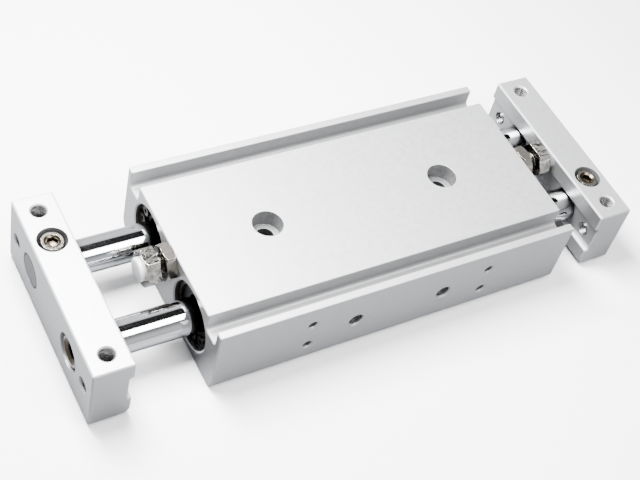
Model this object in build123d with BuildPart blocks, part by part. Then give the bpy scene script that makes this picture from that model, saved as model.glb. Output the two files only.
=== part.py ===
from build123d import *
import os

# Twin-rod cylinder. Two through rods run side by side in one block, with an end plate across
# each pair of rod ends. The block stays still and the rods and plates slide as one carriage.
# X runs along the rods, Y across them, Z up. The origin is the middle of the block's underside.

# Clearances, measured on the radius or on one side
sliding_clearance = 0.05
seated_clearance = 0.05
seal_clearance = 0.04
thread_clearance = 0.05
side_clearance = 0.05
stop_rest_gap = 0.1

# Rods and bores
rod_diameter = 10.0
rod_chamfer = 0.5
bore_diameter = 20.0
stroke = 12.0

# Block: walls round the bores, and the switch slots beside the raised middle
web_thickness = 8.0
bore_wall = 2.0
underside_radius = 3.0
top_edge_radius = 0.4
saw_cut_chamfer = 0.3
slot_undercut = 0.75
slot_width = 5.35
slot_lip = 2.4
slot_depth = 5.8
slot_floor_radius = 1.2

# Bore ends: retaining ring, seal retainer and rod cover, from the mouth inwards
bore_mouth_chamfer = 0.4
ring_inset = 1.5
ring_thickness = 1.0
ring_groove_depth = 0.5
ring_band = 1.8
ring_opening = 4.0
ring_eye_inset = 2.6
ring_eye_radius = 1.6
ring_eye_hole = 1.5
ring_eye_angle = 17.0
retainer_thickness = 1.0
retainer_hole = 10.8
cover_length = 36.5
rod_seal_width = 4.0
rod_seal_height = 2.4
cover_ring_inset = 12.0
cover_ring_width = 2.0
cover_ring_depth = 1.5
cover_chamfer = 0.5

# Piston and what it carries
piston_length = 17.0
piston_gap = 0.1
magnet_gap = 0.2
piston_seal_inset = 3.0
piston_seal_width = 3.2
magnet_inset = 9.0
magnet_width = 4.0
piston_groove_depth = 2.4
piston_end_clearance = 2.0
gasket_width = 1.8
gasket_depth = 1.0
clip_thickness = 1.0
clip_groove_depth = 0.5
clip_band = 2.2
clip_opening = 5.0

# Holes in the block
mount_hole = 5.5
mount_counterbore = 9.0
mount_counterbore_depth = 5.5
mount_inset = 28.5
side_tap_drill = 2.5
side_tap_depth = 6.0
side_tap_rise = 9.0
port_drill = 4.2
port_depth = 5.0
port_inset = 3.0
passage_diameter = 2.5
tap_chamfer = 0.4

# Stop screws and their lock nuts
stop_rise = 7.2
stop_thread = 6.0
stop_length = 20.0
stop_hole_spare = 5.0
hex_across_flats = 10.0
stop_head_height = 4.0
nut_height = 3.2
left_nut_gap = 1.7
right_nut_gap = 2.8
bumper_diameter = 6.8
bumper_height = 1.5
bumper_stem = 3.0
bumper_stem_length = 2.5

# End plates
plate_set_in = 1.0
plate_thickness = 11.5
plate_chamfer = 0.4
relief_above_axis = 5.0
relief_below_axis = 4.5
relief_depth = 1.2
relief_radius = 0.5
plate_foot_radius = 2.0
plate_tap_drill = 4.2
plate_tap_depth = 8.0
plate_tap_inset = 5.5
pocket_depth = 2.0

# Socket cap screws: M6 in the rod ends, M4 across the rods
end_thread = 6.0
end_screw_length = 14.0
end_head_diameter = 10.0
end_head_height = 6.0
end_socket = 5.0
end_counterbore = 11.0
end_web = 3.0
cross_thread = 4.0
cross_tip_cover = 2.4
cross_head_diameter = 7.0
cross_head_height = 4.0
cross_socket = 3.0
cross_counterbore = 8.3
cross_web = 1.4
socket_depth_share = 0.5
screw_hole_spare = 0.8

# Lengths that follow from the sizes above
rod_radius = rod_diameter / 2
bore_radius = bore_diameter / 2
bore_pitch = bore_diameter + web_thickness
plateau_width = bore_pitch + bore_diameter - 2 * slot_undercut
housing_width = plateau_width + 2 * (slot_width + slot_lip)
housing_height = bore_diameter + 2 * bore_wall
axis_height = housing_height / 2
ring_groove_radius = bore_radius + ring_groove_depth
cover_start = ring_inset + ring_thickness + retainer_thickness
piston_pack = piston_length + 2 * clip_thickness
chamber_length = piston_pack + stroke + 2 * piston_end_clearance
housing_length = chamber_length + 2 * (cover_start + cover_length)
mount_spacing = housing_length - 2 * mount_inset
left_stop_standoff = nut_height + left_nut_gap
right_stop_standoff = nut_height + right_nut_gap
left_stop_reach = left_stop_standoff + stop_head_height + bumper_height
right_stop_reach = right_stop_standoff + stop_head_height + bumper_height
plate_gap = housing_length + left_stop_reach + right_stop_reach + stroke + 2 * stop_rest_gap
right_plate_inner = housing_length / 2 + right_stop_reach + stop_rest_gap
left_plate_inner = right_plate_inner - plate_gap
carriage_middle = (left_plate_inner + right_plate_inner) / 2
plate_width = housing_width - 2 * plate_set_in
plate_height = housing_height - 2 * plate_set_in
plate_tap_spacing = plate_width - 2 * plate_tap_inset
end_counterbore_depth = plate_thickness - pocket_depth - end_web
cross_counterbore_depth = plate_height / 2 - rod_radius - seated_clearance - cross_web
cross_screw_length = plate_height - cross_counterbore_depth - cross_tip_cover
rod_length = plate_thickness + plate_gap + pocket_depth
piston_start = plate_thickness + plate_gap / 2 - piston_length / 2
gasket_start = piston_start + (piston_length - gasket_width) / 2
port_spacing = chamber_length - 2 * port_inset
slot_centre = (plateau_width + slot_width) / 2
slot_floor = housing_height - slot_depth

# The rear bore is on the +Y side, the front bore with the ports is on the -Y side
bores = {"rear": bore_pitch / 2, "front": -bore_pitch / 2}
ends = {"left": -1, "right": 1}
standoffs = {"left": left_stop_standoff, "right": right_stop_standoff}
# Each retaining ring sits at the turn it happened to be snapped in at
ring_turns = {"rear_left": 15.0, "front_left": -118.0, "rear_right": 70.0, "front_right": 160.0}

os.makedirs("parts", exist_ok=True)


def save(part, name):
    part.label = name
    export_step(part, f"parts/{name}.step")


def bore_mouth(bore, end):
    """Plane on the block's end face, centred on a bore and facing into it."""
    side = ends[end]
    origin = (side * housing_length / 2, bores[bore], axis_height)
    return Plane(origin=origin, x_dir=(0, 1, 0), z_dir=(-side, 0, 0))


def stop_line(end):
    """Plane on the block's end face at a stop screw, facing out."""
    side = ends[end]
    origin = (side * housing_length / 2, 0, axis_height + stop_rise)
    return Plane(origin=origin, x_dir=(0, 1, 0), z_dir=(side, 0, 0))


def ring(start, outer, inner, width):
    """Plain ring standing on a plane."""
    with BuildPart() as turned:
        with BuildSketch(start):
            Circle(outer)
            Circle(inner, mode=Mode.SUBTRACT)
        extrude(amount=width)
    return turned.part


# Block: a length of aluminium extrusion, bored and drilled
with BuildPart() as housing:
    with BuildSketch(Plane.YZ.offset(-housing_length / 2)) as profile:
        with Locations((0, axis_height)):
            Rectangle(housing_width, housing_height)
        fillet(profile.vertices().group_by(Axis.Y)[0], underside_radius)
        with Locations((-slot_centre, housing_height), (slot_centre, housing_height)):
            Rectangle(slot_width, 2 * slot_depth, mode=Mode.SUBTRACT)
        floor_corners = profile.vertices().filter_by_position(Axis.Y, slot_floor - 0.01, slot_floor + 0.01)
        fillet(floor_corners, slot_floor_radius)
        fillet(profile.vertices().group_by(Axis.Y)[-1], top_edge_radius)
        with Locations((-bore_pitch / 2, axis_height), (bore_pitch / 2, axis_height)):
            Circle(bore_radius, mode=Mode.SUBTRACT)
    extrude(amount=housing_length)

    # Lead-in at the four bore mouths
    round_edges = housing.edges().filter_by(GeomType.CIRCLE)
    chamfer(round_edges.filter_by(lambda edge: abs(edge.radius - bore_radius) < 0.01), bore_mouth_chamfer)

    # Deburred outline of both sawn ends
    across = housing.faces().filter_by(Axis.X).sort_by(Axis.X)
    chamfer(across[0].outer_wire().edges() + across[-1].outer_wire().edges(), saw_cut_chamfer)

    # Groove for each retaining ring
    for bore in bores:
        for end in ends:
            with BuildSketch(bore_mouth(bore, end).offset(ring_inset - side_clearance)):
                Circle(ring_groove_radius)
            extrude(amount=ring_thickness + 2 * side_clearance, mode=Mode.SUBTRACT)

    # Counterbored mounting holes down through the web between the bores
    with Locations((0, 0, housing_height)):
        with GridLocations(mount_spacing, 0, 2, 1):
            CounterBoreHole(mount_hole / 2, mount_counterbore / 2, mount_counterbore_depth)

    # Tapped holes in the front wall
    front_wall = Plane(origin=(0, -housing_width / 2, axis_height), x_dir=(1, 0, 0), z_dir=(0, -1, 0))
    with Locations(front_wall):
        with GridLocations(mount_spacing, side_tap_rise, 2, 2):
            Hole(side_tap_drill / 2, depth=side_tap_depth)
        # Air ports, each with a passage on through the front bore and the web into the rear bore
        with GridLocations(port_spacing, 0, 2, 1):
            Hole(port_drill / 2, depth=port_depth)
            Hole(passage_diameter / 2, depth=housing_width / 2 + bore_pitch / 2)

    # Tapped hole for each stop screw, high in the web where it is thick
    for end in ends:
        with Locations(stop_line(end)):
            Hole(stop_thread / 2 + thread_clearance, depth=stop_length - standoffs[end] + stop_hole_spare)

    # Small chamfers where the taps start
    wall_edges = housing.edges().filter_by(GeomType.CIRCLE).group_by(Axis.Y)[0]
    chamfer(wall_edges, tap_chamfer)
save(housing.part, "housing")


# Rod cover: a plug of bearing metal that closes a bore end, guides the rod and holds both seals
def rod_cover(mouth):
    start = mouth.offset(cover_start)
    outer = bore_radius - seated_clearance
    with BuildPart() as cover:
        with BuildSketch(start):
            Circle(outer)
            Circle(rod_radius + sliding_clearance, mode=Mode.SUBTRACT)
        extrude(amount=cover_length)
        with BuildSketch(start):
            Circle(rod_radius + rod_seal_height)
        extrude(amount=rod_seal_width, mode=Mode.SUBTRACT)
        with BuildSketch(start.offset(cover_ring_inset)):
            Circle(outer)
            Circle(bore_radius - cover_ring_depth, mode=Mode.SUBTRACT)
        extrude(amount=cover_ring_width + 2 * side_clearance, mode=Mode.SUBTRACT)
        inner_rim = cover.faces().sort_by(Axis(mouth.origin, mouth.z_dir))[-1].outer_wire()
        chamfer(inner_rim.edges(), cover_chamfer)
    return cover.part


for bore in bores:
    for end in ends:
        save(rod_cover(bore_mouth(bore, end)), f"{bore}_{end}_cover")

mouths = {f"{bore}_{end}": bore_mouth(bore, end) for bore in bores for end in ends}

# Rod seals in the outer recess of each cover
rod_seals = Compound([
    ring(mouth.offset(cover_start + side_clearance), rod_radius + rod_seal_height - seated_clearance,
         rod_radius + seal_clearance, rod_seal_width - side_clearance)
    for mouth in mouths.values()])
save(rod_seals, "rod_seals")

# Rubber ring in the groove round each cover
cover_rings = Compound([
    ring(mouth.offset(cover_start + cover_ring_inset + side_clearance), bore_radius - seal_clearance,
         bore_radius - cover_ring_depth + side_clearance, cover_ring_width)
    for mouth in mouths.values()])
save(cover_rings, "cover_o_rings")

# Steel disc over each rod seal
retainers = Compound([
    ring(mouth.offset(ring_inset + ring_thickness), bore_radius - seated_clearance,
         retainer_hole / 2, retainer_thickness)
    for mouth in mouths.values()])
save(retainers, "seal_retainers")


# Retaining ring: an open spring-steel ring with two eyes for the pliers
def retaining_ring(mouth, turn):
    outer = ring_groove_radius - seated_clearance
    with BuildPart() as snap_ring:
        with BuildSketch(mouth.offset(ring_inset)):
            Circle(outer)
            Circle(outer - ring_band, mode=Mode.SUBTRACT)
            with PolarLocations(outer, 1, start_angle=turn):
                Rectangle(2 * outer, ring_opening, mode=Mode.SUBTRACT)
            for side in (-1, 1):
                with PolarLocations(outer - ring_eye_inset, 1, start_angle=turn + side * ring_eye_angle):
                    Circle(ring_eye_radius)
                    Circle(ring_eye_hole / 2, mode=Mode.SUBTRACT)
        extrude(amount=ring_thickness)
    return snap_ring.part


retaining_rings = Compound([retaining_ring(mouths[name], ring_turns[name]) for name in mouths])
save(retaining_rings, "retaining_rings")


# Rod: hard-chromed bar, one end cross-drilled for the M4 screw, the other tapped for the M6 screw
def carriage_line(bore):
    """Plane across a rod at its cross-drilled end, facing along the rod."""
    side = -1 if bore == "rear" else 1
    origin = (carriage_middle + side * (plate_gap / 2 + plate_thickness), bores[bore], axis_height)
    return Plane(origin=origin, x_dir=(0, 1, 0), z_dir=(-side, 0, 0))


def piston_rod(line):
    clip_groove = clip_thickness + 2 * side_clearance
    grooves = [
        (piston_start - clip_thickness - side_clearance, clip_groove, clip_groove_depth),
        (piston_start + piston_length - side_clearance, clip_groove, clip_groove_depth),
        (gasket_start - side_clearance, gasket_width + 2 * side_clearance, gasket_depth),
    ]
    with BuildPart() as rod:
        with BuildSketch(line):
            Circle(rod_radius)
        extrude(amount=rod_length)
        chamfer(rod.edges().filter_by(GeomType.CIRCLE), rod_chamfer)
        with Locations(line.offset(rod_length)):
            Hole(end_thread / 2 + thread_clearance, depth=end_screw_length - end_web + screw_hole_spare)
        middle_of_plate = line.offset(plate_thickness / 2).origin
        with Locations(Plane(origin=middle_of_plate + Vector(0, 0, rod_radius), z_dir=(0, 0, 1))):
            Hole(cross_thread / 2 + thread_clearance)
        for start, width, depth in grooves:
            with BuildSketch(line.offset(start)):
                Circle(rod_radius)
                Circle(rod_radius - depth, mode=Mode.SUBTRACT)
            extrude(amount=width, mode=Mode.SUBTRACT)
    return rod.part


# Piston: aluminium, with a groove for its seal and one for the magnet that works the switches
def piston(line):
    outer = bore_radius - piston_gap
    with BuildPart() as body:
        with BuildSketch(line.offset(piston_start)):
            Circle(outer)
            Circle(rod_radius + seated_clearance, mode=Mode.SUBTRACT)
        extrude(amount=piston_length)
        for inset, width in ((piston_seal_inset, piston_seal_width), (magnet_inset, magnet_width)):
            with BuildSketch(line.offset(piston_start + inset - side_clearance)):
                Circle(outer)
                Circle(bore_radius - piston_groove_depth, mode=Mode.SUBTRACT)
            extrude(amount=width + 2 * side_clearance, mode=Mode.SUBTRACT)
    return body.part


# Clip: an open ring in a groove of the rod, one each side of the piston
def piston_clip(start):
    inner = rod_radius - clip_groove_depth + seated_clearance
    with BuildPart() as clip:
        with BuildSketch(start):
            Circle(inner + clip_band)
            Circle(inner, mode=Mode.SUBTRACT)
            Rectangle(clip_opening, inner + clip_band, align=(Align.CENTER, Align.MAX), mode=Mode.SUBTRACT)
        extrude(amount=clip_thickness)
    return clip.part


clips = []
for bore in bores:
    line = carriage_line(bore)
    groove_floor = bore_radius - piston_groove_depth + seated_clearance
    save(piston_rod(line), f"{bore}_piston_rod")
    save(piston(line), f"{bore}_piston")
    save(ring(line.offset(piston_start + piston_seal_inset), bore_radius - sliding_clearance, groove_floor,
              piston_seal_width), f"{bore}_piston_seal")
    save(ring(line.offset(piston_start + magnet_inset), bore_radius - magnet_gap, groove_floor,
              magnet_width), f"{bore}_magnet_ring")
    save(ring(line.offset(gasket_start), rod_radius,
              rod_radius - gasket_depth + side_clearance, gasket_width), f"{bore}_piston_gasket")
    clips.append(piston_clip(line.offset(piston_start - clip_thickness)))
    clips.append(piston_clip(line.offset(piston_start + piston_length)))
save(Compound(clips), "piston_clips")


# End plate: the same part at both ends, one turned half round. A plate's own x points at the
# rod that runs right through it, its z points away from the block.
def plate_face(end):
    """Plane on a plate's outer face."""
    side = ends[end]
    outer = carriage_middle + side * (plate_gap / 2 + plate_thickness)
    return Plane(origin=(outer, 0, axis_height), x_dir=(0, -side, 0), z_dir=(side, 0, 0))


def plate_top(face):
    """Plane on a plate's top face, over the middle of its thickness."""
    middle = face.offset(-plate_thickness / 2).origin
    return Plane(origin=middle + Vector(0, 0, plate_height / 2), x_dir=face.x_dir, z_dir=(0, 0, 1))


def end_plate(face):
    with BuildPart() as plate:
        # Bar with a shallow relief along its inner face and a rounded inner foot, cut to length
        bar_end = Plane(origin=face.origin + face.x_dir * plate_width / 2, x_dir=-face.z_dir, z_dir=-face.x_dir)
        with BuildSketch(bar_end) as outline:
            Rectangle(plate_thickness, plate_height, align=(Align.MIN, Align.CENTER))
            with Locations((plate_thickness, (relief_above_axis - relief_below_axis) / 2)):
                Rectangle(2 * relief_depth, relief_above_axis + relief_below_axis, mode=Mode.SUBTRACT)
            relief_corners = outline.vertices().filter_by(lambda v: abs(v.Y) < plate_height / 2 - 0.01)
            fillet(relief_corners, relief_radius)
            fillet(outline.vertices().group_by(Axis.Y)[0].sort_by(Axis.X)[-1], plate_foot_radius)
        extrude(amount=plate_width)
        bar_ends = plate.faces().filter_by(Axis.Y)
        end_edges = bar_ends[0].outer_wire().edges() + bar_ends[1].outer_wire().edges()
        upper_edges = plate.edges().filter_by(Axis.Y).group_by(Axis.Z)[-1]
        lower_edges = plate.edges().filter_by(Axis.Y).group_by(Axis.Z)[0].sort_by(Axis(face.origin, face.z_dir))[-1:]
        chamfer(end_edges + upper_edges + lower_edges, plate_chamfer)

        # One rod passes through, the other stops in a pocket behind its screw
        with Locations(face):
            with Locations((bore_pitch / 2, 0)):
                Hole(rod_radius + seated_clearance, depth=plate_thickness)
            with Locations((-bore_pitch / 2, 0)):
                CounterBoreHole(end_thread / 2 + thread_clearance, end_counterbore / 2,
                                end_counterbore_depth, depth=plate_thickness)
            with GridLocations(plate_tap_spacing, 0, 2, 1):
                Hole(plate_tap_drill / 2, depth=plate_thickness)
        with BuildSketch(face.offset(-plate_thickness)):
            with Locations((-bore_pitch / 2, 0)):
                Circle(rod_radius + seated_clearance)
        extrude(amount=pocket_depth, mode=Mode.SUBTRACT)

        # From above: two tapped holes and the counterbore of the cross screw
        with Locations(plate_top(face)):
            with GridLocations(plate_tap_spacing, 0, 2, 1):
                Hole(plate_tap_drill / 2, depth=plate_tap_depth)
            with Locations((bore_pitch / 2, 0)):
                CounterBoreHole(cross_thread / 2 + thread_clearance, cross_counterbore / 2,
                                cross_counterbore_depth,
                                depth=cross_counterbore_depth + cross_screw_length + screw_hole_spare)
        tap_mouths = plate.edges().filter_by(GeomType.CIRCLE).filter_by(
            lambda e: abs(e.radius - plate_tap_drill / 2) < 0.01)
        top_mouths = tap_mouths.group_by(Axis.Z)[-1]
        outer_mouths = tap_mouths.sort_by(Axis(face.origin, face.z_dir))[-2:]
        chamfer(top_mouths + outer_mouths, tap_chamfer)
    return plate.part


# Socket cap screw standing head up on a plane, its shank going down
def cap_screw(seat, thread, length, head_diameter, head_height, socket):
    with BuildPart() as screw:
        with BuildSketch(seat):
            Circle(head_diameter / 2)
        extrude(amount=head_height)
        with BuildSketch(seat):
            Circle(thread / 2)
        extrude(amount=-length)
        with BuildSketch(seat.offset(head_height)):
            RegularPolygon(socket / 2, 6, major_radius=False)
        extrude(amount=-head_height * socket_depth_share, mode=Mode.SUBTRACT)
    return screw.part


cross_screws = []
end_screws = []
for end in ends:
    face = plate_face(end)
    save(end_plate(face), f"{end}_plate")
    cross_seat = plate_top(face).offset(-cross_counterbore_depth)
    cross_seat = cross_seat.shift_origin(cross_seat.from_local_coords((bore_pitch / 2, 0, 0)))
    cross_screws.append(cap_screw(cross_seat, cross_thread, cross_screw_length, cross_head_diameter,
                                  cross_head_height, cross_socket))
    end_seat = face.offset(-end_counterbore_depth)
    end_seat = end_seat.shift_origin(end_seat.from_local_coords((-bore_pitch / 2, 0, 0)))
    end_screws.append(cap_screw(end_seat, end_thread, end_screw_length, end_head_diameter,
                                end_head_height, end_socket))
save(Compound(cross_screws), "cross_screws")
save(Compound(end_screws), "rod_end_screws")


# Stop screw: hexagon head screw with a soft bumper in its head, locked by a thin nut
def stop_screw(seat):
    with BuildPart() as screw:
        with BuildSketch(seat):
            RegularPolygon(hex_across_flats / 2, 6, major_radius=False)
        extrude(amount=stop_head_height)
        with BuildSketch(seat):
            Circle(stop_thread / 2)
        extrude(amount=-stop_length)
        with Locations(seat.offset(stop_head_height)):
            Hole(bumper_stem / 2 + seated_clearance, depth=bumper_stem_length + side_clearance)
    return screw.part


def bumper(seat):
    with BuildPart() as pad:
        with BuildSketch(seat):
            Circle(bumper_diameter / 2)
        extrude(amount=bumper_height)
        with BuildSketch(seat):
            Circle(bumper_stem / 2)
        extrude(amount=-bumper_stem_length)
    return pad.part


def lock_nut(face):
    with BuildPart() as nut:
        with BuildSketch(face):
            RegularPolygon(hex_across_flats / 2, 6, major_radius=False)
            Circle(stop_thread / 2 + thread_clearance, mode=Mode.SUBTRACT)
        extrude(amount=nut_height)
    return nut.part


for end in ends:
    line = stop_line(end)
    save(stop_screw(line.offset(standoffs[end])), f"{end}_stop_screw")
    save(bumper(line.offset(standoffs[end] + stop_head_height)), f"{end}_bumper")
save(Compound([lock_nut(stop_line(end)) for end in ends]), "lock_nuts")
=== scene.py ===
import math

import bpy
from mathutils import Matrix, Vector


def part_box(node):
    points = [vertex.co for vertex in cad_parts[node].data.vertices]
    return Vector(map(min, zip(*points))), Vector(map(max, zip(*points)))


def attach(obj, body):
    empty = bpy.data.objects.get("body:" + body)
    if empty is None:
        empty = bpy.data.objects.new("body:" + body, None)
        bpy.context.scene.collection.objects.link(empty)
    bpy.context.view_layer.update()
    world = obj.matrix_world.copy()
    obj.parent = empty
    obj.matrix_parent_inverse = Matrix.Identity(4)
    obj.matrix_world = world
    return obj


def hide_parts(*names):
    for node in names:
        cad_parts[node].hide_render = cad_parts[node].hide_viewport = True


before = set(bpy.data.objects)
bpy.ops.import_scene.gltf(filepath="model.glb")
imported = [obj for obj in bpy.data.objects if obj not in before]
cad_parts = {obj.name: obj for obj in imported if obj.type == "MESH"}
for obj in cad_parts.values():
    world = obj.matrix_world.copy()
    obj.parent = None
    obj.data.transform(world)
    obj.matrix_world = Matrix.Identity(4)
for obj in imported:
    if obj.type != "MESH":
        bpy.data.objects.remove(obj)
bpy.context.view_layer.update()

# Studio
# The cylinder lies on white paper under two soft panels: one over its near side and to the right,
# which the rods show as a white stripe, and a strong one over its far left corner. The room round
# it is dim, with a dark band over the far side that the rods show as a black stripe.

mm = 0.001
object_middle = Vector((0, 0, 12 * mm))
camera_azimuth = math.radians(-41.91)
camera_elevation = math.radians(48.14)
camera_roll = math.radians(17.93)
camera_distance = 381.62 * mm
camera_lens = 73.17
camera_shift = (-0.0457, -0.0227)

back = Vector((
    math.sin(camera_azimuth) * math.cos(camera_elevation),
    -math.cos(camera_azimuth) * math.cos(camera_elevation),
    math.sin(camera_elevation),
))
level_right = Vector((0, 0, 1)).cross(back).normalized()
level_up = back.cross(level_right)
camera_right = level_right * math.cos(camera_roll) + level_up * math.sin(camera_roll)
camera_up = level_up * math.cos(camera_roll) - level_right * math.sin(camera_roll)
bpy.ops.object.camera_add()
camera = bpy.context.object
camera.matrix_world = Matrix.Translation(object_middle + back * camera_distance) @ (
    Matrix((camera_right, camera_up, back)).transposed().to_4x4())
camera.data.lens = camera_lens
camera.data.shift_x, camera.data.shift_y = camera_shift
bpy.context.scene.camera = camera

floor_drop = 0.2 * mm
floor_radius = 1.6
bpy.ops.mesh.primitive_circle_add(
    vertices=96, radius=floor_radius, fill_type="NGON", location=(0, 0, -floor_drop))
floor = bpy.context.object
floor.name = "floor"

# The paper looks white, but only little of its light gets back up to the metal
paper_white = (0.93, 0.93, 0.93, 1)
paper_bounce = (0.17, 0.175, 0.182, 1)
paper = bpy.data.materials.new("white_paper")
paper.use_nodes = True
tree = paper.node_tree
shader = tree.nodes["Principled BSDF"]
shader.inputs["Roughness"].default_value = 0.9
shader.inputs["Specular IOR Level"].default_value = 0.0
ray = tree.nodes.new("ShaderNodeLightPath")
tone = tree.nodes.new("ShaderNodeMix")
tone.data_type = "RGBA"
tone.inputs["A"].default_value = paper_bounce
tone.inputs["B"].default_value = paper_white
tree.links.new(ray.outputs["Is Camera Ray"], tone.inputs["Factor"])
tree.links.new(tone.outputs["Result"], shader.inputs["Base Color"])
floor.data.materials.append(paper)


def soft_panel(name, middle, length, width, brightness):
    """Soft rectangular light that faces the cylinder, its long side along the rods."""
    bpy.ops.object.light_add(type="AREA")
    panel = bpy.context.object
    panel.name = name
    panel.data.shape = "RECTANGLE"
    panel.data.size = length
    panel.data.size_y = width
    panel.data.energy = math.pi * length * width * brightness
    away = (middle - object_middle).normalized()
    across = away.cross(Vector((1, 0, 0))).normalized()
    panel.matrix_world = Matrix.Translation(middle) @ (
        Matrix((across.cross(away), across, away)).transposed().to_4x4())


soft_panel("near_panel", Vector((0.05, -0.165, 0.34)), length=0.20, width=0.2, brightness=21)
soft_panel("far_panel", Vector((-0.09, 0.10, 0.307)), length=0.12, width=0.2, brightness=126)

# The room's brightness over an arc from straight down, up the far side, over and down the near side
room_steps = [
    (0.00, 0.50), (0.20, 0.60), (0.33, 0.80), (0.52, 0.80), (0.56, 0.005),
    (0.68, 0.005), (0.70, 0.25), (0.85, 0.18), (0.92, 0.50), (1.00, 0.60),
]
room_tint = (0.97, 0.985, 1.0)
room_strength = 1.6
sky = bpy.data.worlds.new("room")
bpy.context.scene.world = sky
sky.use_nodes = True
tree = sky.node_tree
direction = tree.nodes.new("ShaderNodeTexCoord")
axes = tree.nodes.new("ShaderNodeSeparateXYZ")
rise = tree.nodes.new("ShaderNodeMath")
rise.operation = "ARCTAN2"
arc = tree.nodes.new("ShaderNodeMapRange")
arc.inputs["From Min"].default_value = -math.pi / 2
arc.inputs["From Max"].default_value = math.pi
room = tree.nodes.new("ShaderNodeValToRGB")
while len(room.color_ramp.elements) < len(room_steps):
    room.color_ramp.elements.new(0.5)
for element, (place, level) in zip(room.color_ramp.elements, room_steps):
    element.position = place
    element.color = [level * share for share in room_tint] + [1]
tree.links.new(direction.outputs["Generated"], axes.inputs[0])
tree.links.new(axes.outputs["Z"], rise.inputs[0])
tree.links.new(axes.outputs["Y"], rise.inputs[1])
tree.links.new(rise.outputs[0], arc.inputs["Value"])
tree.links.new(arc.outputs["Result"], room.inputs[0])
tree.links.new(room.outputs[0], tree.nodes["Background"].inputs["Color"])
tree.nodes["Background"].inputs["Strength"].default_value = room_strength

# Block
# A sawn length of aluminium extrusion, drilled, bored and then satin anodised. The die leaves faint
# lines along its faces, and the etch before anodising a fine grain. Slots and holes are darkened with
# painted shade.


def own_noise(tree, grain, stretch=(1, 1, 1), detail=3.0):
    """Noise on a piece's own coordinates, with grains of that size in metres, drawn out by stretch."""
    place = tree.nodes.new("ShaderNodeTexCoord")
    drawn = tree.nodes.new("ShaderNodeMapping")
    drawn.inputs["Scale"].default_value = [1 / (grain * share) for share in stretch]
    noise = tree.nodes.new("ShaderNodeTexNoise")
    noise.inputs["Scale"].default_value = 1.0
    noise.inputs["Detail"].default_value = detail
    tree.links.new(place.outputs["Object"], drawn.inputs["Vector"])
    tree.links.new(drawn.outputs["Vector"], noise.inputs["Vector"])
    return noise.outputs["Fac"]


def finish(name, dark, light, metallic, roughness, grain, stretch=(1, 1, 1), dent=0.0, edge=0.0):
    """Surface with a grain. Colour and roughness run between two values with the grain, dent is the
    grain's depth and edge the radius of the worn corners, both in metres."""
    material = bpy.data.materials.new(name)
    material.use_nodes = True
    tree = material.node_tree
    shader = tree.nodes["Principled BSDF"]
    shader.inputs["Metallic"].default_value = metallic
    grains = own_noise(tree, grain, stretch)
    colour = tree.nodes.new("ShaderNodeValToRGB")
    colour.color_ramp.elements[0].position = 0.3
    colour.color_ramp.elements[1].position = 0.7
    colour.color_ramp.elements[0].color = (*dark, 1)
    colour.color_ramp.elements[1].color = (*light, 1)
    tree.links.new(grains, colour.inputs["Fac"])
    tree.links.new(colour.outputs["Color"], shader.inputs["Base Color"])
    gloss = tree.nodes.new("ShaderNodeMapRange")
    gloss.inputs["From Min"].default_value = 0.3
    gloss.inputs["From Max"].default_value = 0.7
    gloss.inputs["To Min"].default_value = roughness[0]
    gloss.inputs["To Max"].default_value = roughness[1]
    tree.links.new(own_noise(tree, 12 * grain, detail=2.0), gloss.inputs["Value"])
    tree.links.new(gloss.outputs["Result"], shader.inputs["Roughness"])
    relief = tree.nodes.new("ShaderNodeBump")
    relief.inputs["Distance"].default_value = dent
    tree.links.new(grains, relief.inputs["Height"])
    tree.links.new(relief.outputs["Normal"], shader.inputs["Normal"])
    if edge:
        worn = tree.nodes.new("ShaderNodeBevel")
        worn.inputs["Radius"].default_value = edge
        tree.links.new(worn.outputs["Normal"], relief.inputs["Normal"])
    return material


def overlay(material, mask, name, kind, value):
    """Gives one input of a finish another value where a mask is 1."""
    tree = material.node_tree
    shader = tree.nodes["Principled BSDF"]
    change = tree.nodes.new("ShaderNodeMix")
    change.data_type = kind
    change.inputs["B"].default_value = value
    tree.links.new(shader.inputs[name].links[0].from_socket, change.inputs["A"])
    tree.links.new(mask, change.inputs["Factor"])
    tree.links.new(change.outputs["Result"], shader.inputs[name])


def paint_hollow_shade(material, left, reach, closed=0.35, opened=1.0, own_only=False):
    """Paints shade into a finish's colour in slots, holes and gaps. Left is the share of its colour
    that remains where no more of the view within reach is free than the closed share. Own_only leaves
    other pieces out."""
    tree = material.node_tree
    shader = tree.nodes["Principled BSDF"]
    view = tree.nodes.new("ShaderNodeAmbientOcclusion")
    view.inputs["Distance"].default_value = reach
    view.only_local = own_only
    share = tree.nodes.new("ShaderNodeMapRange")
    share.inputs["From Min"].default_value = closed
    share.inputs["From Max"].default_value = opened
    share.inputs["To Min"].default_value = left
    shade = tree.nodes.new("ShaderNodeVectorMath")
    shade.operation = "SCALE"
    tree.links.new(view.outputs["AO"], share.inputs["Value"])
    tree.links.new(shader.inputs["Base Color"].links[0].from_socket, shade.inputs[0])
    tree.links.new(share.outputs["Result"], shade.inputs["Scale"])
    tree.links.new(shade.outputs[0], shader.inputs["Base Color"])


def measure(tree, operation, first, *others):
    """Output of a math node on one socket and up to two numbers."""
    step = tree.nodes.new("ShaderNodeMath")
    step.operation = operation
    tree.links.new(first, step.inputs[0])
    for place, value in enumerate(others, start=1):
        step.inputs[place].default_value = value
    return step.outputs[0]


def along_rods(tree, node, output):
    """Share along the rods of one output of a texture coordinate or geometry node."""
    source = tree.nodes.new(node)
    axes = tree.nodes.new("ShaderNodeSeparateXYZ")
    tree.links.new(source.outputs[output], axes.inputs[0])
    return axes.outputs["X"]


def across_rods(tree, least, most):
    """Mask of the faces whose normals have between those shares of their length along the rods."""
    share = measure(tree, "ABSOLUTE", along_rods(tree, "ShaderNodeNewGeometry", "True Normal"))
    return measure(tree, "COMPARE", share, (least + most) / 2, (most - least) / 2)


cut_roughness = 0.28
chamfer_roughness = 0.85


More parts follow.
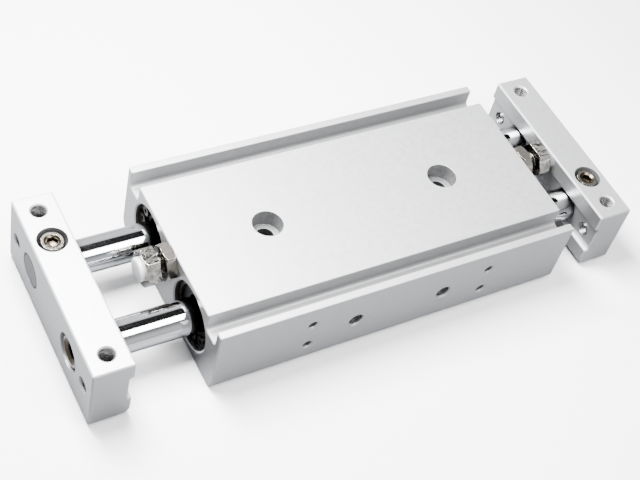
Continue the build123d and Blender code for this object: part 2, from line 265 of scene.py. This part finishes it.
def finish_ends(material, shift, middle, half):
    """Cut ends come out smoother than the rest, and the chamfers round them rougher. They lie more
    than half from the middles of the pieces, which are as far to both sides once shifted."""
    tree = material.node_tree
    place = measure(tree, "ADD", along_rods(tree, "ShaderNodeTexCoord", "Object"), shift)
    off_middle = measure(tree, "SUBTRACT", measure(tree, "ABSOLUTE", place), middle)
    at_end = measure(tree, "GREATER_THAN", measure(tree, "ABSOLUTE", off_middle), half)
    for least, most, roughness in ((0.9, 1.1, cut_roughness), (0.5, 0.9, chamfer_roughness)):
        both = tree.nodes.new("ShaderNodeMath")
        both.operation = "MULTIPLY"
        tree.links.new(at_end, both.inputs[0])
        tree.links.new(across_rods(tree, least, most), both.inputs[1])
        overlay(material, both.outputs[0], "Roughness", "FLOAT", roughness)


def dress(node, material):
    """Gives a node of the frame its finish."""
    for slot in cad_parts[node].material_slots:
        slot.material = material


satin_dark = (0.56, 0.565, 0.575)
satin_light = (0.60, 0.605, 0.615)
satin_roughness = (0.50, 0.55)
satin_painted_shade = 0.5
shade_reach = 10 * mm
end_depth = 0.5 * mm
extruded_satin = finish(
    "extruded_satin", dark=satin_dark, light=satin_light, metallic=0.9, roughness=satin_roughness,
    grain=0.12 * mm, stretch=(14, 1, 1), dent=0.002 * mm, edge=0.3 * mm)
dress("housing", extruded_satin)
block_low, block_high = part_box("housing")
finish_ends(extruded_satin, shift=0.0, middle=0.0, half=block_high[0] - end_depth)
# Painted shade darkens the block's colour in slots, holes and gaps
paint_hollow_shade(extruded_satin, left=satin_painted_shade, reach=shade_reach, own_only=True)

# Painted shade darkens the screw holes further, as hardly any light gets down them
paint_hollow_shade(extruded_satin, left=0.15, reach=shade_reach, closed=0.02, opened=0.30, own_only=True)

# The bores are hard anodised, which leaves them darker, and their colour is darkened further as painted
# shade
bore_radius = 10 * mm
bore_offset = 14 * mm
bore_margin = 0.02 * mm
bore_anodise_and_shade = (0.10, 0.098, 0.095, 1)
axis_height = (block_low[2] + block_high[2]) / 2
tree = extruded_satin.node_tree
place = tree.nodes.new("ShaderNodeTexCoord")
mirrored = tree.nodes.new("ShaderNodeVectorMath")
mirrored.operation = "ABSOLUTE"
flat = tree.nodes.new("ShaderNodeVectorMath")
flat.operation = "MULTIPLY"
flat.inputs[1].default_value = (0, 1, 1)
offset = tree.nodes.new("ShaderNodeVectorMath")
offset.operation = "DISTANCE"
offset.inputs[1].default_value = (0, bore_offset, axis_height)
tree.links.new(place.outputs["Object"], mirrored.inputs[0])
tree.links.new(mirrored.outputs[0], flat.inputs[0])
tree.links.new(flat.outputs[0], offset.inputs[0])
in_bore = measure(tree, "LESS_THAN", offset.outputs["Value"], bore_radius + bore_margin)
overlay(extruded_satin, in_bore, "Base Color", "RGBA", bore_anodise_and_shade)

# Threads in the block
# Four M3 holes for a bracket and two M5 air ports, tapped from the near wall. Each thread is a ridge
# that winds down the drilled hole, cut in the same anodised metal but coloured dark as painted shade of
# the hole.

thread_steps = 24
mouth_chamfer = 0.4 * mm
m3_tap = {"drill": 2.5 * mm, "pitch": 0.5 * mm}
m5_tap = {"drill": 4.2 * mm, "pitch": 0.8 * mm}
wall_hole_offset = 29 * mm
wall_hole_rise = 4.5 * mm
wall_thread_length = 5.5 * mm
port_offset = 14.5 * mm
port_thread_length = 4.8 * mm


def select_only(obj):
    """Leaves one object selected and active."""
    bpy.ops.object.select_all(action="DESELECT")
    obj.select_set(True)
    bpy.context.view_layer.objects.active = obj


def settle(obj, place, along):
    """Turns a piece that was made upright so that its top points along a direction, moves it there
    and keeps the place in its mesh."""
    select_only(obj)
    obj.rotation_mode = "QUATERNION"
    obj.rotation_quaternion = Vector((0, 0, 1)).rotation_difference(Vector(along))
    obj.location = place
    bpy.ops.object.transform_apply(location=True, rotation=True, scale=True)


def wound_ridge(name, radius, height, pitch, length, outwards):
    """Thread ridge round the upright axis, from the origin up. It stands on the radius, and its edge
    points outwards on a screw and inwards in a hole."""
    side = 1 if outwards else -1
    tooth_radius = 0.56 * pitch
    bpy.ops.object.select_all(action="DESELECT")
    bpy.ops.mesh.primitive_circle_add(
        vertices=3, radius=tooth_radius, location=(radius + side * height / 3, 0, pitch / 2),
        rotation=(math.pi / 2, side * math.pi / 2, 0))
    ridge = bpy.context.object
    ridge.name = name
    bpy.ops.object.transform_apply(location=False, rotation=True, scale=True)
    bpy.ops.object.mode_set(mode="EDIT")
    bpy.ops.mesh.select_all(action="SELECT")
    bpy.ops.transform.resize(value=(height / (1.5 * tooth_radius), 1, 1))
    bpy.ops.object.mode_set(mode="OBJECT")
    bpy.ops.object.transform_apply(location=True, rotation=True, scale=True)
    winding = ridge.modifiers.new("winding", "SCREW")
    winding.axis = "Z"
    winding.steps = thread_steps
    winding.render_steps = thread_steps
    winding.screw_offset = pitch
    winding.iterations = round(length / pitch)
    winding.use_smooth_shade = False
    bpy.ops.object.modifier_apply(modifier="winding")
    bpy.ops.object.mode_set(mode="EDIT")
    bpy.ops.mesh.select_mode(type="VERT")
    bpy.ops.mesh.select_all(action="SELECT")
    bpy.ops.mesh.remove_doubles(threshold=0.001 * mm)
    bpy.ops.mesh.select_all(action="DESELECT")
    bpy.ops.mesh.select_non_manifold()
    bpy.ops.mesh.fill()
    bpy.ops.mesh.select_all(action="SELECT")
    bpy.ops.mesh.normals_make_consistent(inside=False)
    bpy.ops.object.mode_set(mode="OBJECT")
    return ridge


def tapped_thread(name, body, metal, mouth, into, length, drill, pitch):
    """Thread in a drilled hole, from its mouth down."""
    into = Vector(into)
    tooth_height = 0.42 * pitch
    ridge = wound_ridge(name, drill / 2, tooth_height, pitch, length - mouth_chamfer, outwards=False)
    settle(ridge, Vector(mouth) + into * mouth_chamfer, into)
    ridge.data.materials.append(metal)
    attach(ridge, body)


# The threads are coloured near black, painted shade of the holes
shaded_thread = finish(
    "shaded_thread", dark=(0.06, 0.06, 0.06), light=(0.12, 0.12, 0.12), metallic=0.9,
    roughness=(0.26, 0.36), grain=0.08 * mm, dent=0.001 * mm)
for side, x in (("left", -wall_hole_offset), ("right", wall_hole_offset)):
    for level, rise in (("lower", -wall_hole_rise), ("upper", wall_hole_rise)):
        tapped_thread(f"{side}_{level}_wall_thread", "block", shaded_thread,
                      (x, block_low[1], axis_height + rise), (0, 1, 0), wall_thread_length, **m3_tap)
for side, x in (("left", -port_offset), ("right", port_offset)):
    tapped_thread(f"{side}_port_thread", "block", shaded_thread,
                  (x, block_low[1], axis_height), (0, 1, 0), port_thread_length, **m5_tap)

# Bore ends
# Behind each retaining ring of blackened spring steel lies a dark steel disc, and behind that the
# cover with its rubber seals. Only the ring, the disc and a little of the seal can be seen.

black_steel = finish(
    "black_steel", dark=(0.045, 0.040, 0.036), light=(0.10, 0.088, 0.075), metallic=1.0,
    roughness=(0.26, 0.38), grain=0.2 * mm, dent=0.002 * mm, edge=0.12 * mm)
dark_disc = finish(
    "dark_disc", dark=(0.020, 0.020, 0.021), light=(0.04, 0.04, 0.042), metallic=0.9,
    roughness=(0.34, 0.46), grain=0.3 * mm, dent=0.002 * mm)
rubber = finish(
    "rubber", dark=(0.012, 0.012, 0.012), light=(0.022, 0.022, 0.023), metallic=0.0,
    roughness=(0.50, 0.65), grain=0.1 * mm, dent=0.003 * mm)
bearing_metal = finish(
    "bearing_metal", dark=(0.50, 0.46, 0.38), light=(0.60, 0.56, 0.47), metallic=1.0,
    roughness=(0.30, 0.40), grain=0.06 * mm, stretch=(1, 30, 30), dent=0.001 * mm)
dress("retaining_rings", black_steel)
dress("seal_retainers", dark_disc)
dress("rod_seals", rubber)
dress("cover_o_rings", rubber)
for cover in ("rear_left_cover", "rear_right_cover", "front_left_cover", "front_right_cover"):
    dress(cover, bearing_metal)

# Rods
# Two steel bars, ground and hard-chromed to a mirror. The grinding leaves lines round them that are
# hardly to be seen. Next to a bore or a plate their colour is darkened almost to black, a painted
# reflection of its shade. Their ends are turned and bare.

hard_chrome = finish(
    "hard_chrome", dark=(0.70, 0.71, 0.73), light=(0.76, 0.77, 0.79), metallic=1.0,
    roughness=(0.045, 0.08), grain=0.05 * mm, stretch=(1, 80, 80), dent=0.00004 * mm)
# Painted reflection: near bores and plates the chrome's colour is darkened, standing for the shade it
# would mirror
paint_hollow_shade(hard_chrome, left=0.02, reach=7 * mm, closed=0.5, opened=0.78)
bare_end = across_rods(hard_chrome.node_tree, 0.6, 1.4)
bare_steel = (0.16, 0.16, 0.165, 1)
bare_roughness = 0.38
overlay(hard_chrome, bare_end, "Base Color", "RGBA", bare_steel)
overlay(hard_chrome, bare_end, "Roughness", "FLOAT", bare_roughness)
dress("rear_piston_rod", hard_chrome)
dress("front_piston_rod", hard_chrome)

# Pistons
# A turned aluminium piston with a rubber seal, a magnet ring and two clips sits on the middle of each
# rod, out of sight in the bore.

turned_aluminium = finish(
    "turned_aluminium", dark=(0.55, 0.555, 0.565), light=(0.68, 0.685, 0.695), metallic=1.0,
    roughness=(0.28, 0.36), grain=0.06 * mm, stretch=(1, 40, 40), dent=0.001 * mm)
magnet_grey = finish(
    "magnet_grey", dark=(0.035, 0.035, 0.038), light=(0.06, 0.06, 0.065), metallic=0.2,
    roughness=(0.55, 0.70), grain=0.15 * mm, dent=0.004 * mm)
for bore in ("rear", "front"):
    dress(f"{bore}_piston", turned_aluminium)
    dress(f"{bore}_piston_seal", rubber)
    dress(f"{bore}_piston_gasket", rubber)
    dress(f"{bore}_magnet_ring", magnet_grey)
dress("piston_clips", black_steel)

# End plates
# Aluminium bar cut to length, milled and drilled, then anodised like the block. The cutter leaves
# faint lines along the bar. Their holes are tapped, and the threads are coloured dark as painted shade,
# less dark than the block's.

milled_satin = finish(
    "milled_satin", dark=satin_dark, light=satin_light, metallic=0.9, roughness=satin_roughness,
    grain=0.12 * mm, stretch=(1, 10, 1), dent=0.0015 * mm, edge=0.25 * mm)
plate_thickness = 11.5 * mm
relief_depth = 1.2 * mm
relief_margin = 0.15 * mm
left_low, left_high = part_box("left_plate")
right_low, right_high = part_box("right_plate")
plate_shift = -(left_low[0] + right_high[0]) / 2
plate_middle = (left_low[0] + left_high[0]) / 2 + plate_shift
finish_ends(milled_satin, shift=plate_shift, middle=-plate_middle,
            half=plate_thickness / 2 - relief_depth - relief_margin)
# Painted shade darkens the plates' colour in holes and gaps
paint_hollow_shade(milled_satin, left=satin_painted_shade, reach=shade_reach, own_only=True)
# The plates' threads are coloured dark as painted shade, less dark than the block's
lighter_shaded_thread = finish(
    "lighter_shaded_thread", dark=(0.13, 0.13, 0.13), light=(0.26, 0.26, 0.26), metallic=0.9,
    roughness=(0.22, 0.32), grain=0.08 * mm, dent=0.001 * mm)
tap_offset = 24.5 * mm
top_thread_length = 7.6 * mm
end_thread_length = plate_thickness - relief_depth
for side, outwards in (("left", -1), ("right", 1)):
    dress(f"{side}_plate", milled_satin)
    plate_low, plate_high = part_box(f"{side}_plate")
    outer = plate_low[0] if outwards < 0 else plate_high[0]
    middle = (plate_low[0] + plate_high[0]) / 2
    for place, y in (("front", -tap_offset), ("rear", tap_offset)):
        tapped_thread(f"{side}_{place}_top_thread", "carriage", lighter_shaded_thread,
                      (middle, y, plate_high[2]), (0, 0, -1), top_thread_length, **m5_tap)
        tapped_thread(f"{side}_{place}_end_thread", "carriage", lighter_shaded_thread,
                      (outer, y, axis_height), (-outwards, 0, 0), end_thread_length, **m5_tap)

# Cap screws
# Nickel-plated socket cap screws hold the rods: M4 across one rod in each plate, from above, and M6
# into the end of the other, from outside. A head has straight knurls, a rounded rim and a socket.

nickel_plate = finish(
    "nickel_plate", dark=(0.36, 0.335, 0.295), light=(0.47, 0.44, 0.395), metallic=1.0,
    roughness=(0.10, 0.20), grain=0.9 * mm, dent=0.02 * mm, edge=0.12 * mm)
# Painted shade darkens the nickel's colour in gaps and hollows
paint_hollow_shade(nickel_plate, left=0.35, reach=6 * mm)
# Sockets get a near black colour, painted shade
socket_painted_shade = finish(
    "socket_painted_shade", dark=(0.035, 0.028, 0.018), light=(0.10, 0.085, 0.065), metallic=1.0,
    roughness=(0.22, 0.34), grain=0.3 * mm, dent=0.004 * mm)


def select_level(obj, level):
    """In edit mode, selects the flat face that lies at a height."""
    bpy.ops.mesh.select_all(action="DESELECT")
    bpy.ops.mesh.select_mode(type="FACE")
    bpy.ops.object.mode_set(mode="OBJECT")
    for face in obj.data.polygons:
        face.select = all(abs(obj.data.vertices[i].co.z - level) < 0.01 * mm for i in face.vertices)
    bpy.ops.object.mode_set(mode="EDIT")


def draw_out(rise, share):
    """Extrudes the selected end face up or down and makes the new end larger or smaller."""
    bpy.ops.mesh.extrude_region_move(TRANSFORM_OT_translate={"value": (0, 0, rise)})
    bpy.ops.transform.resize(value=(share, share, 1))


def combine(obj, tool, operation):
    """Cuts a piece with another, or keeps what both fill, and takes the other away."""
    select_only(obj)
    step = obj.modifiers.new(operation, "BOOLEAN")
    step.operation = operation
    step.solver = "EXACT"
    step.object = tool
    bpy.ops.object.modifier_apply(modifier=operation)
    bpy.data.objects.remove(tool)


def upright_bar(name, sides, radius, length, start=0.0, turn=0.0):
    """Upright bar from a height up, with that many sides."""
    bpy.ops.object.select_all(action="DESELECT")
    bpy.ops.mesh.primitive_cylinder_add(
        vertices=sides, radius=radius, depth=length, location=(0, 0, start + length / 2),
        rotation=(0, 0, turn))
    bar = bpy.context.object
    bar.name = name
    bpy.ops.object.transform_apply(location=True, rotation=True, scale=True)
    return bar


turned_sides = 48
sharp_angle = math.radians(25)
flutes = 36
flute_share = 0.955
rim_shares = (0.975, 0.90)
tip_share = 0.84


def cap_screw(name, thread, length, head, head_height, socket):
    """Socket cap screw that stands on its seat at the origin, head up."""
    rim = 0.09 * head_height
    tip = 0.08 * thread
    screw = upright_bar(name, 2 * flutes, head / 2, head_height - 2 * rim)
    bpy.ops.object.mode_set(mode="EDIT")
    bpy.ops.mesh.select_all(action="DESELECT")
    bpy.ops.mesh.select_mode(type="VERT")
    bpy.ops.object.mode_set(mode="OBJECT")
    for vertex in screw.data.vertices:
        position = math.atan2(vertex.co.y, vertex.co.x) / math.pi * flutes
        vertex.select = round(position) % 2 == 0
    bpy.ops.object.mode_set(mode="EDIT")
    bpy.ops.transform.resize(value=(flute_share, flute_share, 1))
    select_level(screw, head_height - 2 * rim)
    for share in rim_shares:
        draw_out(rim, share)
    select_level(screw, 0.0)
    bpy.ops.mesh.extrude_region()
    bpy.ops.transform.resize(value=(thread / head, thread / head, 1))
    draw_out(-(length - tip), 1.0)
    draw_out(-tip, tip_share)
    bpy.ops.object.mode_set(mode="OBJECT")

    # The socket ends in the punch's shallow point and opens with a cone
    depth = 0.5 * head_height
    corner = socket / math.sqrt(3)
    opening = 1.32 * corner
    recess = upright_bar("recess", 6, corner, depth + rim, head_height - depth, turn=math.pi / 6)
    bpy.ops.object.mode_set(mode="EDIT")
    select_level(recess, head_height - depth)
    draw_out(-0.12 * socket, 0.15)
    bpy.ops.object.mode_set(mode="OBJECT")
    combine(screw, recess, "DIFFERENCE")
    lead_in = upright_bar("lead_in", turned_sides, opening, rim, head_height)
    bpy.ops.object.mode_set(mode="EDIT")
    select_level(lead_in, head_height)
    draw_out(-0.14 * socket, 0.74)
    bpy.ops.object.mode_set(mode="OBJECT")
    combine(screw, lead_in, "DIFFERENCE")
    select_only(screw)
    bpy.ops.object.shade_smooth_by_angle(angle=sharp_angle)
    screw.data.materials.append(nickel_plate)
    screw.data.materials.append(socket_painted_shade)
    # Faces inside the socket take the painted shade colour
    for face in screw.data.polygons:
        below_rim = head_height - depth - socket < face.center.z < head_height - 0.01 * mm
        face.material_index = int(below_rim and face.center.xy.length < opening)
    return screw


def second_copy(obj, name):
    """Copy with its own mesh."""
    copy = obj.copy()
    copy.data = obj.data.copy()
    copy.name = name
    bpy.context.collection.objects.link(copy)
    return copy


cross_seat_height = 18.45 * mm
end_seat_inset = 6.5 * mm
cross = cap_screw("left_cross_screw", thread=4 * mm, length=15.05 * mm,
                  head=7 * mm, head_height=4 * mm, socket=3 * mm)
right_cross = second_copy(cross, "right_cross_screw")
settle(cross, ((left_low[0] + left_high[0]) / 2, bore_offset, cross_seat_height), (0, 0, 1))
settle(right_cross, ((right_low[0] + right_high[0]) / 2, -bore_offset, cross_seat_height), (0, 0, 1))
end_screw = cap_screw("left_end_screw", thread=6 * mm, length=14 * mm,
                      head=10 * mm, head_height=6 * mm, socket=5 * mm)
right_end_screw = second_copy(end_screw, "right_end_screw")
settle(end_screw, (left_low[0] + end_seat_inset, -bore_offset, axis_height), (-1, 0, 0))
settle(right_end_screw, (right_high[0] - end_seat_inset, bore_offset, axis_height), (1, 0, 0))
for screw, node in ((cross, "cross_screws"), (right_cross, "cross_screws"),
                    (end_screw, "rod_end_screws"), (right_end_screw, "rod_end_screws")):
    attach(screw, "carriage")
    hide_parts(node)

# Stop screws
# An M6 hexagon head screw in each end of the block, nickel-plated, turned in or out to set the
# travel and held by a thin nut. Heads and nuts have the crown that turning gives hexagon bar.

bright_nickel = finish(
    "bright_nickel", dark=(0.42, 0.40, 0.36), light=(0.74, 0.71, 0.66), metallic=1.0,
    roughness=(0.04, 0.10), grain=1.5 * mm, dent=0.18 * mm, edge=0.20 * mm)
# Painted shade darkens the stop heads' colour in gaps and hollows
paint_hollow_shade(bright_nickel, left=0.25, reach=6 * mm)
hex_flats = 10 * mm
hex_corner = hex_flats / math.sqrt(3)
crown_height = 0.62 * mm
crown_share = 0.74
stop_height = 19.2 * mm
stop_thread = 6 * mm
stop_pitch = 1 * mm
thread_depth = 0.45 * mm
thread_root = 0.02 * mm
thread_runout = 0.7 * mm
shank_length = 20 * mm
shank_chamfer = 0.4 * mm
head_height = 4 * mm
nut_height = 3.2 * mm
nut_play = 0.04 * mm
bumper_hole_radius = 1.55 * mm
bumper_hole_depth = 2.6 * mm


def crowned_hexagon(name, height, both_ends):
    """Hexagon from the origin up, with turned-down corners at its top, or at both ends. The cone that
    turns them down runs on past the end as far as it goes down its side."""
    hexagon = upright_bar(name, 6, hex_corner, height)
    lower = crown_height if both_ends else -crown_height
    side_height = height - lower - crown_height
    crown = upright_bar("crown", 2 * turned_sides, 1.002 * hex_corner, side_height, lower)
    bpy.ops.object.mode_set(mode="EDIT")
    select_level(crown, height - crown_height)
    draw_out(2 * crown_height, crown_share)
    if both_ends:
        select_level(crown, lower)
        draw_out(-2 * crown_height, crown_share)
    bpy.ops.object.mode_set(mode="OBJECT")
    combine(hexagon, crown, "INTERSECT")
    return hexagon


for side, outwards in (("left", -1), ("right", 1)):
    screw_low, screw_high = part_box(f"{side}_stop_screw")
    seat = screw_low[0] + head_height if outwards < 0 else screw_high[0] - head_height
    body = f"{side}_stop"

    head = crowned_hexagon(f"{side}_stop_head", head_height, both_ends=False)
    bumper_hole = upright_bar("bumper_hole", turned_sides, bumper_hole_radius, head_height,
                              head_height - bumper_hole_depth)
    combine(head, bumper_hole, "DIFFERENCE")
    core_radius = stop_thread / 2 - thread_depth
    shank = upright_bar(f"{side}_stop_shank", turned_sides, core_radius, shank_length, -shank_length)
    bpy.ops.object.mode_set(mode="EDIT")
    select_level(shank, -shank_length)
    bpy.ops.mesh.bevel(offset=shank_chamfer, segments=1)
    bpy.ops.object.mode_set(mode="OBJECT")
    ridge = wound_ridge(f"{side}_stop_thread", core_radius - thread_root, thread_depth, stop_pitch,
                        shank_length - 2 * thread_runout, outwards=True)
    settle(ridge, (0, 0, -shank_length + thread_runout), (0, 0, 1))
    for part in (head, shank, ridge):
        select_only(part)
        bpy.ops.object.shade_smooth_by_angle(angle=sharp_angle)
        settle(part, (seat, 0, stop_height), (outwards, 0, 0))
        part.data.materials.append(bright_nickel if part == head else nickel_plate)
        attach(part, body)
        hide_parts(f"{side}_stop_screw")

    nut = crowned_hexagon(f"{side}_lock_nut", nut_height, both_ends=True)
    nut_hole = upright_bar("nut_hole", turned_sides, stop_thread / 2 + nut_play,
                           2 * nut_height, -nut_height / 2)
    combine(nut, nut_hole, "DIFFERENCE")
    select_only(nut)
    bpy.ops.object.shade_smooth_by_angle(angle=sharp_angle)
    settle(nut, (outwards * block_high[0], 0, stop_height), (outwards, 0, 0))
    nut.data.materials.append(nickel_plate)
    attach(nut, "block")
    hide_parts("lock_nuts")

# Bumpers
# A white urethane button is pressed into the head of each stop screw. Its face is a low dome, and
# the plate lands on it at the end of the travel.

urethane = finish(
    "urethane", dark=(0.54, 0.55, 0.56), light=(0.60, 0.61, 0.62), metallic=0.0,
    roughness=(0.30, 0.40), grain=0.4 * mm, dent=0.002 * mm)
shader = urethane.node_tree.nodes["Principled BSDF"]
shader.inputs["Subsurface Weight"].default_value = 0.15
shader.inputs["Subsurface Scale"].default_value = 0.8 * mm
bumper_sides = 64
bumper_radius = 3.4 * mm
bumper_height = 1.5 * mm
bumper_rim = 0.95 * mm
dome_rings = [
    (0.17, 0.975), (0.13, 0.94), (0.09, 0.86), (0.07, 0.75), (0.05, 0.6), (0.03, 0.4), (0.01, 0.3),
]
stem_radius = 1.5 * mm
stem_length = 2.4 * mm
for side, outwards in (("left", -1), ("right", 1)):
    bumper_low, bumper_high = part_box(f"{side}_bumper")
    seat = bumper_low[0] + bumper_height if outwards < 0 else bumper_high[0] - bumper_height
    pad = upright_bar(f"{side}_stop_bumper", bumper_sides, bumper_radius, bumper_rim)
    bpy.ops.object.mode_set(mode="EDIT")
    select_level(pad, bumper_rim)
    for rise, share in dome_rings:
        draw_out(rise * mm, share)
    select_level(pad, 0.0)
    bpy.ops.mesh.extrude_region()
    bpy.ops.transform.resize(value=(stem_radius / bumper_radius, stem_radius / bumper_radius, 1))
    draw_out(-stem_length, 1.0)
    bpy.ops.object.mode_set(mode="OBJECT")
    bpy.ops.object.shade_smooth_by_angle(angle=math.radians(40))
    settle(pad, (seat, 0, stop_height), (outwards, 0, 0))
    pad.data.materials.append(urethane)
    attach(pad, f"{side}_stop")
    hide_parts(f"{side}_bumper")
